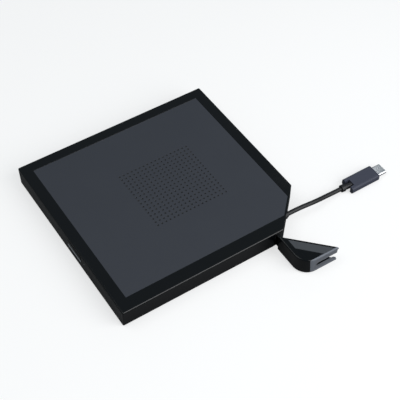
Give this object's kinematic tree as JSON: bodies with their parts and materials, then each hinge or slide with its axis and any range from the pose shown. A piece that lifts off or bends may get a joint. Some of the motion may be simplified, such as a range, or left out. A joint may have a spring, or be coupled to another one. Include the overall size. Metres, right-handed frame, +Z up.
{
  "type": "external disc drive",
  "caption": "Slim external disc drive with a loading tray, an eject button, a matte top panel, and a hinged corner door for its captive cord and plug.",
  "frame": {"origin": "on the surface that the feet stand on, under the middle of the case", "axes": "+Z up, -Y towards the tray's front, +X to the right seen from the front"},
  "size_m": [0.1661, 0.2088, 0.0145],
  "materials": {
    "gloss_black": "glossy near-black moulded plastic",
    "matte_panel": "fine-grained dark grey-blue matte plastic",
    "matte_grey": "matte grey moulded plastic",
    "matte_black": "matte black moulded plastic",
    "button_black": "satin black plastic",
    "light_clear": "clear plastic light guide",
    "foot_rubber": "soft black rubber",
    "bushing_rubber": "grey damping rubber",
    "cord_sheath": "black flexible cord sheath",
    "plug_grip": "dark moulded plug grip",
    "plated_shell": "plated steel plug shell",
    "pin_steel": "ground steel pin",
    "screw_steel": "zinc-plated steel",
    "sheet_steel": "galvanised sheet steel",
    "rail_steel": "pressed steel",
    "guide_plastic": "acetal rail guide",
    "tray_plastic": "fine-textured black tray plastic",
    "hub_plastic": "hard black plastic hub",
    "rotor_metal": "bright pressed rotor",
    "stator_steel": "laminated core with copper windings",
    "sled_alloy": "cast zinc-aluminium sled",
    "lens_glass": "coated glass lens",
    "board_green": "solder-masked circuit board",
    "chip_black": "moulded chip packages",
    "connector_black": "moulded connector body",
    "flex_film": "amber flexible film",
    "lever_plastic": "natural acetal lever"
  },
  "bodies": {
    "case": {"top_shell": "gloss_black", "top_panel": "matte_panel", "bottom_shell": "matte_black", "rubber_feet": "foot_rubber", "case_screws": "screw_steel", "drive_screws": "screw_steel", "hinge_pin": "pin_steel", "cord_gland": "matte_black", "cord": "cord_sheath", "plug_neck": "cord_sheath", "plug_body": "plug_grip", "plug_shell": "plated_shell", "drive_chassis": "sheet_steel", "drive_cover": "sheet_steel", "rail_guides": "guide_plastic", "main_board": "board_green", "board_chips": "chip_black", "drive_connector": "connector_black", "bridge_connector": "connector_black", "bridge_board": "board_green", "bridge_chips": "chip_black", "internal_lead": "cord_sheath", "tray_flex": "flex_film", "lock_pin": "pin_steel", "ejector_housing": "guide_plastic", "ejector_pusher": "lever_plastic", "ejector_spring": "pin_steel"},
    "tray_unit": {"tray": "tray_plastic", "tray_bezel": "gloss_black", "eject_switch": "connector_black", "front_board": "board_green", "light_guide": "light_clear", "tray_bottom_cover": "sheet_steel", "tray_screws": "screw_steel", "traverse_frame": "sheet_steel", "damper_bushings": "bushing_rubber", "traverse_screws": "screw_steel", "motor_base": "sheet_steel", "motor_stator": "stator_steel", "guide_rods": "pin_steel", "feed_motor": "rotor_metal", "latch_solenoid": "matte_black"},
    "rail_left": {"slide_rail_left": "rail_steel"},
    "rail_right": {"slide_rail_right": "rail_steel"},
    "button": {"eject_button": "button_black"},
    "spindle": {"motor_rotor": "rotor_metal", "turntable_pad": "bushing_rubber", "disc_hub": "hub_plastic"},
    "sled": {"sled_body": "sled_alloy", "actuator_magnets": "screw_steel", "laser_modules": "rotor_metal", "feed_nut": "lever_plastic"},
    "lens": {"lens_holder": "matte_black", "objective_lens": "lens_glass"},
    "lead_screw": {"feed_screw": "pin_steel"},
    "latch": {"latch_lever": "lever_plastic"},
    "plunger": {"latch_plunger": "pin_steel"},
    "cord_door": {"door_shell": "gloss_black", "door_inlay": "matte_panel", "door_end_plate": "matte_grey"}
  },
  "joints": [
    {"name": "tray_slide", "type": "slide", "parent": "case", "child": "tray_unit", "axis": [0, -1, 0], "range_m": [0, 0.127]},
    {"name": "rail_left_slide", "type": "slide", "parent": "case", "child": "rail_left", "axis": [0, -1, 0], "range_m": [0, 0.0635]},
    {"name": "rail_right_slide", "type": "slide", "parent": "case", "child": "rail_right", "axis": [0, -1, 0], "range_m": [0, 0.0635]},
    {"name": "eject_press", "type": "slide", "parent": "tray_unit", "child": "button", "axis": [0, 1, 0], "range_m": [0, 0.0008], "stiffness_N_per_m": 400},
    {"name": "spindle_spin", "type": "hinge", "parent": "tray_unit", "child": "spindle", "pos_m": [0, -0.005, 0.008], "axis": [0, 0, 1], "continuous": true},
    {"name": "sled_travel", "type": "slide", "parent": "tray_unit", "child": "sled", "axis": [0.7071, -0.7071, 0], "range_m": [0, 0.034]},
    {"name": "feed_screw_spin", "type": "hinge", "parent": "tray_unit", "child": "lead_screw", "pos_m": [0.03267, -0.01476, 0.0062], "axis": [0.7071, -0.7071, 0], "range_deg": [0, 4080.5]},
    {"name": "lens_focus", "type": "slide", "parent": "sled", "child": "lens", "axis": [0, 0, 1], "range_m": [-0.0004, 0.0004], "stiffness_N_per_m": 30},
    {"name": "latch_swing", "type": "hinge", "parent": "tray_unit", "child": "latch", "pos_m": [-0.034, -0.05, 0.0059], "axis": [0, 0, 1], "range_deg": [0, 14]},
    {"name": "plunger_slide", "type": "slide", "parent": "tray_unit", "child": "plunger", "axis": [1, 0, 0], "range_m": [0, 0.0009676]},
    {"name": "cord_door_swing", "type": "hinge", "parent": "case", "child": "cord_door", "pos_m": [0.06665, 0.04035, 0.008], "axis": [0.0314, 0, 0.9995], "range_deg": [0, 90]}
  ],
  "couplings": [
    {"joint": "rail_left_slide", "follows": "tray_slide", "ratio": 0.5},
    {"joint": "rail_right_slide", "follows": "tray_slide", "ratio": 0.5},
    {"joint": "feed_screw_spin", "follows": "sled_travel", "rad_per_m": 2094.4},
    {"joint": "latch_swing", "follows": "plunger_slide", "rad_per_m": 252.53}
  ]
}
